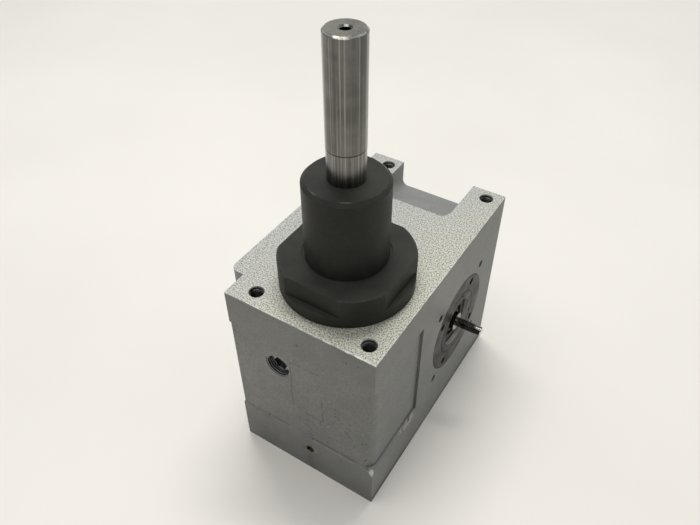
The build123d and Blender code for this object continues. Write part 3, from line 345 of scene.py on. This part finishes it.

    # the oil fill hole's thread, painted on its wall: painted highlight on the crests, painted shade in
    # the roots
    from_fill = look.distance((FILL_X, 0.0, FILL_HEIGHT), (1.0, 0.0, 1.0))
    in_fill = look.times(
        look.span(from_fill, FILL_RADIUS + 0.1 * MM, FILL_RADIUS + 0.3 * MM, 1.0, 0.0),
        look.span(look.y, FACE_FRONT + 0.7 * MM, FACE_FRONT + 0.9 * MM),
        look.span(look.y, FACE_FRONT + HOLE_REACH, FACE_FRONT + HOLE_REACH + MM, 1.0, 0.0),
    )
    crests = look.calc("SINE", look.times(look.y, 2 * math.pi / FILL_THREAD_PITCH))
    thread = look.blend(look.span(crests, 0.0, 0.8), (0.010, 0.010, 0.010), (0.30, 0.31, 0.30))
    colour = look.blend(in_fill, colour, thread)

    # painted shade: dark walls inside the tapped holes
    for mount_name, margin in (("top_bolts", 0.1 * MM), ("input_bolts", 0.1 * MM)):
        colour = look.blend(look.inside_holes(mount_name, margin), colour, (0.018, 0.018, 0.017))

    roughness = look.span(drift, 0.3, 0.7, 0.42, 0.54)
    height = look.times(grain, look.span(upward, 0, 1, 0.25, 1.0))
    normal = look.bump(height, 0.10 * MM, 0.5)
    normal = look.bump(look.most(specks, look.times(scratches, 0.5), gouge), -0.2 * MM, 0.8, under=normal)
    return look.finish(colour, roughness, normal)


def turned_steel():
    """Oily grey steel with the tool's rings about the worm axis and dirt in the joints."""
    look = Look("turned_steel", metallic=0.2, roughness=0.45, specular=0.18)
    radius = look.radius("x")
    rings = look.noise(2400, 2, 0.7, look.vector(radius))
    wide_rings = look.noise(520, 1, 0.5, look.vector(radius))
    cloud = look.noise(95, 4, 0.6)
    colour = look.blend(look.span(rings, 0.4, 0.62), (0.008, 0.008, 0.007), (0.060, 0.060, 0.054))
    colour = look.blend(look.span(wide_rings, 0.4, 0.62, 0.0, 0.5), colour, (0.024, 0.023, 0.021))
    colour = look.blend(look.span(cloud, 0.5, 0.72, 0.0, 0.6), colour, (0.03, 0.028, 0.024))
    # the adjusting ring's recess: painted shade on its bottom, a bright machined wall that is partly a
    # painted highlight; dirt in the round joints
    recess_shade = look.span(radius, RECESS_RADIUS + 0.05 * MM, RECESS_RADIUS + 0.15 * MM, 1.0, 0.0)
    wall = look.times(recess_shade, look.span(look.facing_x, 0.3, 0.6, 1.0, 0.0))
    colour = look.blend(recess_shade, colour, (0.02, 0.02, 0.019))
    colour = look.blend(wall, colour, (0.50, 0.50, 0.47))
    joints = look.most(
        look.near(radius, JOINT_RADIUS, 1.3 * MM), look.near(radius, COVER_RADIUS, 1.2 * MM)
    )
    colour = look.blend(joints, colour, (0.004, 0.004, 0.004))
    roughness = look.span(cloud, 0.3, 0.7, 0.34, 0.52)
    normal = look.bump(rings, 0.03 * MM, 0.7)
    return look.finish(colour, roughness, normal)


def black_oxide():
    """Oil-blackened steel: fine turning rings, a brown bloom and rubbed edges."""
    look = Look("black_oxide", roughness=0.42, specular=0.1)
    radius = look.radius("z")
    lathe = look.noise(1500, 2, 0.6, look.vector(radius, look.z))
    cloud = look.noise(45, 5, 0.6)
    dust = look.noise(900, 3, 0.7)
    colour = look.blend(look.span(cloud, 0.35, 0.65), (0.029, 0.030, 0.0265), (0.040, 0.0405, 0.0355))
    colour = look.blend(look.span(dust, 0.55, 0.75, 0.0, 0.35), colour, (0.07, 0.07, 0.06))
    nut_rim = look.near(look.z, NUT_HIGH.z, 1.0 * MM)
    rubbed = look.times(nut_rim, look.near(radius, NUT_HIGH.x, 1.4 * MM))
    rubbed = look.times(rubbed, look.span(dust, 0.4, 0.6, 0.3, 0.8))
    colour = look.blend(rubbed, colour, (0.09, 0.09, 0.083))
    arc = look.times(look.near(look.z, SLEEVE_HIGH.z, 0.7 * MM), look.near(radius, SLEEVE_RIM, 0.6 * MM))
    arc = look.times(arc, look.span(look.noise(70, 2, 0.6), 0.50, 0.60))
    colour = look.blend(look.times(arc, 0.6), colour, (0.16, 0.155, 0.13))
    roughness = look.span(cloud, 0.3, 0.7, 0.40, 0.55)
    normal = look.bump(lathe, 0.02 * MM, 0.5)
    normal = look.bump(dust, 0.03 * MM, 0.35, under=normal)
    return look.finish(colour, roughness, normal)


def ground_steel():
    """Dark ground steel: grinding lines round the axis, long streaks, smudges and rust freckles."""
    look = Look("ground_steel", metallic=1.0, roughness=0.16)
    radius = look.radius("z")
    lines = look.noise(1.0, 2, 0.7, look.stretch((60, 60, 4200)))
    bands = look.noise(1.0, 1, 0.5, look.stretch((230, 230, 1.5)))
    streaks = look.noise(1.0, 3, 0.6, look.stretch((760, 760, 4)))
    smudge = look.noise(55, 4, 0.6, distortion=0.6)
    freckles = look.span(look.cells(330), 0.05, 0.1, 1.0, 0.0)
    freckles = look.times(freckles, look.span(look.noise(60, 2), 0.55, 0.7))
    lower = look.span(look.z, GROUND_SEAM - 0.2 * MM, GROUND_SEAM + 0.2 * MM, 1.0, 0.0)
    colour = look.blend(look.span(smudge, 0.35, 0.65), (0.13, 0.127, 0.118), (0.19, 0.187, 0.175))
    colour = look.blend(look.span(bands, 0.45, 0.70, 0.0, 0.6), colour, (0.085, 0.083, 0.076))
    colour = look.blend(look.span(streaks, 0.50, 0.62, 0.0, 0.75), colour, (0.32, 0.315, 0.295))
    lower_streaks = look.times(lower, look.span(streaks, 0.40, 0.60))
    colour = look.blend(look.times(lower_streaks, 0.8), colour, (0.33, 0.325, 0.30))
    colour = look.blend(look.times(freckles, 0.7), colour, (0.05, 0.035, 0.025))
    line = look.near(look.z, GROUND_SEAM, 0.6 * MM)
    colour = look.blend(line, colour, (0.012, 0.011, 0.010))
    on_end = look.span(look.facing_z, 0.9, 0.97)
    tarnish = look.times(on_end, look.span(smudge, 0.3, 0.7, 0.4, 0.9))
    colour = look.blend(tarnish, colour, (0.23, 0.22, 0.17))
    end_rim = look.near(look.z, SHAFT_HIGH.z, 1.1 * MM)
    end_rim = look.times(end_rim, look.near(radius, SHAFT_RIM_RADIUS, 0.8 * MM))
    end_rim = look.times(end_rim, look.span(look.noise(150, 3, 0.6), 0.42, 0.52, 0.1, 1.0))
    colour = look.blend(end_rim, colour, (0.80, 0.78, 0.71))
    roughness = look.span(smudge, 0.3, 0.7, 0.10, 0.22)
    roughness = look.calc("ADD", roughness, look.times(lower, 0.16))
    roughness = look.calc("ADD", roughness, look.times(on_end, 0.2))
    normal = look.bump(lines, 0.012 * MM, 0.5)
    return look.finish(colour, roughness, normal)


def stub_steel():
    """Dark polished input stub, and the worm behind it."""
    look = Look("stub_steel", metallic=1.0, roughness=0.14)
    lines = look.noise(1.0, 2, 0.7, look.stretch((4200, 60, 60)))
    smudge = look.noise(120, 3, 0.6)
    colour = look.blend(look.span(smudge, 0.35, 0.65), (0.10, 0.097, 0.09), (0.13, 0.126, 0.118))
    end_rim = look.near(look.x, STUB_HIGH.x, 0.9 * MM)
    colour = look.blend(end_rim, colour, (0.74, 0.72, 0.68))
    # painted shade: darker where the shaft sits below the housing's face
    sunk_shade = look.span(look.x, FACE_RIGHT - 0.1 * MM, FACE_RIGHT + 0.1 * MM, 1.0, 0.0)
    colour = look.blend(look.times(sunk_shade, 0.8), colour, (0.10, 0.095, 0.085))
    roughness = look.span(smudge, 0.3, 0.7, 0.05, 0.10)
    normal = look.bump(lines, 0.006 * MM, 0.3)
    return look.finish(colour, roughness, normal)


def plain_metal(name, light, dark, roughness):
    """Small or hidden metal parts: clouded colour, uneven polish and fine machining grain."""
    look = Look(name, metallic=1.0, roughness=roughness)
    cloud = look.noise(140, 4, 0.6)
    fine = look.noise(900, 3, 0.65)
    colour = look.blend(look.span(cloud, 0.35, 0.65), dark, light)
    colour = look.blend(look.span(fine, 0.5, 0.8, 0.0, 0.5), colour, dark)
    rough = look.span(cloud, 0.3, 0.7, roughness * 0.8, roughness * 1.25)
    normal = look.bump(fine, 0.02 * MM, 0.4)
    return look.finish(colour, rough, normal)


def drain_plug():
    """Blackened plug with a rim of brassy thread sealant."""
    look = Look("drain_plug", metallic=0.8, roughness=0.4)
    cloud = look.noise(300, 3, 0.6)
    from_axis = look.distance((DRAIN_X, 0.0, DRAIN_LOW + DRAIN_RADIUS), (1.0, 0.0, 1.0))
    rim = look.span(from_axis, DRAIN_RADIUS - 1.0 * MM, DRAIN_RADIUS - 0.7 * MM)
    colour = look.blend(look.span(cloud, 0.35, 0.65), (0.10, 0.10, 0.092), (0.20, 0.20, 0.185))
    colour = look.blend(look.times(rim, look.span(cloud, 0.3, 0.6, 0.6, 1.0)), colour, (0.42, 0.36, 0.18))
    return look.finish(colour, look.span(cloud, 0.3, 0.7, 0.3, 0.5))


def seal_rubber():
    """Matt black nitrile with a dusty bloom."""
    look = Look("seal_rubber", roughness=0.62, specular=0.4)
    dust = look.noise(500, 4, 0.65)
    colour = look.blend(look.span(dust, 0.4, 0.75), (0.010, 0.010, 0.010), (0.035, 0.034, 0.032))
    roughness = look.span(dust, 0.3, 0.7, 0.5, 0.72)
    normal = look.bump(dust, 0.03 * MM, 0.5)
    return look.finish(colour, roughness, normal)


def thread_steel(name, light, dark):
    """Cut threads in cast metal: bright crests, and painted shade deeper down the holes."""
    look = Look(name, metallic=0.8, roughness=0.4)
    cloud = look.noise(420, 3, 0.6)
    colour = look.blend(look.span(cloud, 0.35, 0.65), dark, light)
    # painted shade: darker deeper down the holes
    deep_shade = look.span(look.z, FACE_TOP - 4.5 * MM, FACE_TOP - 1 * MM, 0.95, 0.0)
    colour = look.blend(deep_shade, colour, (0.012, 0.012, 0.011))
    return look.finish(colour, look.span(cloud, 0.3, 0.7, 0.32, 0.5))


def floor_paint():
    """Pale bench top."""
    look = Look("floor_paint", roughness=0.5)
    cloud = look.noise(3, 4, 0.5)
    colour = look.blend(look.span(cloud, 0.3, 0.7), (0.76, 0.735, 0.685), (0.80, 0.775, 0.725))
    return look.finish(colour, look.span(cloud, 0.3, 0.7, 0.45, 0.55))


LOOKS = {
    "silver_paint": silver_paint(),
    "turned_steel": turned_steel(),
    "black_oxide": black_oxide(),
    "ground_steel": ground_steel(),
    "stub_steel": stub_steel(),
    "screw_steel": plain_metal("screw_steel", (0.06, 0.06, 0.058), (0.02, 0.02, 0.02), 0.42),
    "zinc_plated_steel": plain_metal("zinc_plated_steel", (0.36, 0.40, 0.42), (0.15, 0.17, 0.18), 0.26),
    "plug_brass": drain_plug(),
    "bearing_steel": plain_metal("bearing_steel", (0.66, 0.66, 0.65), (0.5, 0.5, 0.49), 0.14),
    "pressed_steel": plain_metal("pressed_steel", (0.48, 0.48, 0.47), (0.3, 0.3, 0.29), 0.34),
    "wheel_bronze": plain_metal("wheel_bronze", (0.62, 0.43, 0.20), (0.42, 0.28, 0.12), 0.3),
    "seal_rubber": seal_rubber(),
}
LOOKS["cover_paint"] = LOOKS["silver_paint"]


# ---- thread ridges in the tapped holes ----
def thread_ridge(shape, mouth, inward, radius, pitch, length):
    """A helical ridge with a triangular section, just inside a round hole's wall."""
    side = inward.orthogonal().normalized()
    up = inward.cross(side)
    depth = 0.5 * pitch
    steps = 28
    previous = None
    for i in range(int(length / pitch * steps) + 1):
        angle = 2 * math.pi * i / steps
        out = side * math.cos(angle) + up * math.sin(angle)
        centre = mouth + inward * (pitch * i / steps)
        fade = min(1.0, i / steps)
        rim = [
            (radius - 0.02 * MM, -0.42 * pitch),
            (radius - depth * fade - 0.02 * MM, 0.0),
            (radius - 0.02 * MM, 0.42 * pitch),
        ]
        section = [shape.verts.new(centre + out * reach + inward * shift) for reach, shift in rim]
        if previous:
            for j in range(3):
                k = (j + 1) % 3
                shape.faces.new((previous[j], previous[k], section[k], section[j]))
        previous = section


def make_threads(name, mount_name, pitch, length, look):
    """Thread ridges in every hole of a bolt pattern, as one piece."""
    mount = MOUNTS[mount_name]
    inward = -Vector(mount["axis"])
    radius = mount["dims"]["hole_r_mm"] * MM
    shape = bmesh.new()
    for spot in pattern_spots(mount):
        thread_ridge(shape, spot + inward * 0.7 * MM, inward, radius, pitch * MM, length * MM)
    bmesh.ops.recalc_face_normals(shape, faces=shape.faces)
    mesh = bpy.data.meshes.new(name)
    shape.to_mesh(mesh)
    shape.free()
    piece = bpy.data.objects.new(name, mesh)
    bpy.context.scene.collection.objects.link(piece)
    piece.data.materials.append(look)
    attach(piece, "housing")


top_threads = thread_steel("top_threads", (0.20, 0.20, 0.185), (0.05, 0.05, 0.045))
flange_threads = thread_steel("flange_threads", (0.10, 0.10, 0.095), (0.03, 0.03, 0.028))
make_threads("top_hole_threads", "top_bolts", 1.25, 15, top_threads)
make_threads("flange_hole_threads", "input_bolts", 0.8, 10, flange_threads)

slots = {part["node"]: part["material_slot"] for part in frame["record"]["subparts"]}
for node, obj in frame["nodes"].items():
    look = "stub_steel" if node.startswith("worm_shaft") else slots[node]
    obj.data.materials.clear()
    obj.data.materials.append(LOOKS[look])


# ---- camera, light and floor ----
CAMERA_PLACE = Vector((142.4, -220.2, 383.2)) * MM
CAMERA_VIEW = Vector((-0.39705, 0.62147, -0.67537))
CAMERA_ROLL = math.radians(-0.3)
CAMERA_LENS = 33.97


def make_camera():
    data = bpy.data.cameras.new("camera")
    data.lens = CAMERA_LENS
    data.clip_start = 0.01
    camera = bpy.data.objects.new("camera", data)
    bpy.context.scene.collection.objects.link(camera)
    turn = CAMERA_VIEW.to_track_quat("-Z", "Y").to_matrix().to_4x4()
    camera.matrix_world = Matrix.Translation(CAMERA_PLACE) @ turn @ Matrix.Rotation(CAMERA_ROLL, 4, "Z")
    bpy.context.scene.camera = camera


def area_light(name, place, target, size, power, colour):
    data = bpy.data.lights.new(name, "AREA")
    data.shape = "RECTANGLE"
    data.size, data.size_y = size
    data.energy = power
    data.color = colour
    light = bpy.data.objects.new(name, data)
    light.location = place
    aim = Vector(target) - Vector(place)
    light.rotation_euler = aim.to_track_quat("-Z", "Y").to_euler()
    bpy.context.scene.collection.objects.link(light)


def make_floor():
    mesh = bpy.data.meshes.new("floor")
    shape = bmesh.new()
    bmesh.ops.create_grid(shape, x_segments=1, y_segments=1, size=4)
    shape.to_mesh(mesh)
    shape.free()
    floor = bpy.data.objects.new("floor", mesh)
    bpy.context.scene.collection.objects.link(floor)
    floor.data.materials.append(floor_paint())


def make_world():
    """A room that is bright overhead and behind, and dim in front."""
    world = bpy.data.worlds.new("studio")
    world.use_nodes = True
    tree = world.node_tree
    background = tree.nodes["Background"]
    direction = tree.nodes.new("ShaderNodeTexCoord")
    brightness = tree.nodes.new("ShaderNodeVectorMath")
    brightness.operation = "DOT_PRODUCT"
    brightness.inputs[1].default_value = (-0.15, 0.55, 0.40)
    shift = tree.nodes.new("ShaderNodeMath")
    shift.inputs[1].default_value = 0.35
    ramp = tree.nodes.new("ShaderNodeValToRGB")
    ramp.color_ramp.elements[0].position, ramp.color_ramp.elements[1].position = 0.15, 0.9
    ramp.color_ramp.elements[0].color = (0.10, 0.10, 0.105, 1)
    ramp.color_ramp.elements[1].color = (0.77, 0.80, 0.84, 1)
    tree.links.new(direction.outputs["Generated"], brightness.inputs[0])
    tree.links.new(brightness.outputs["Value"], shift.inputs[0])
    tree.links.new(shift.outputs[0], ramp.inputs[0])
    tree.links.new(ramp.outputs[0], background.inputs["Color"])
    background.inputs["Strength"].default_value = 0.9
    bpy.context.scene.world = world


make_camera()
make_floor()
make_world()
MIDDLE = (0, 0.02, 0.05)
area_light("key", (-0.30, 0.60, 1.8), MIDDLE, (1.2, 0.25), 17, (1.0, 0.97, 0.90))
area_light("overhead", (-0.10, -0.65, 2.1), MIDDLE, (1.8, 1.0), 15.5, (1.0, 0.972, 0.925))
bpy.context.scene.view_settings.view_transform = "Standard"
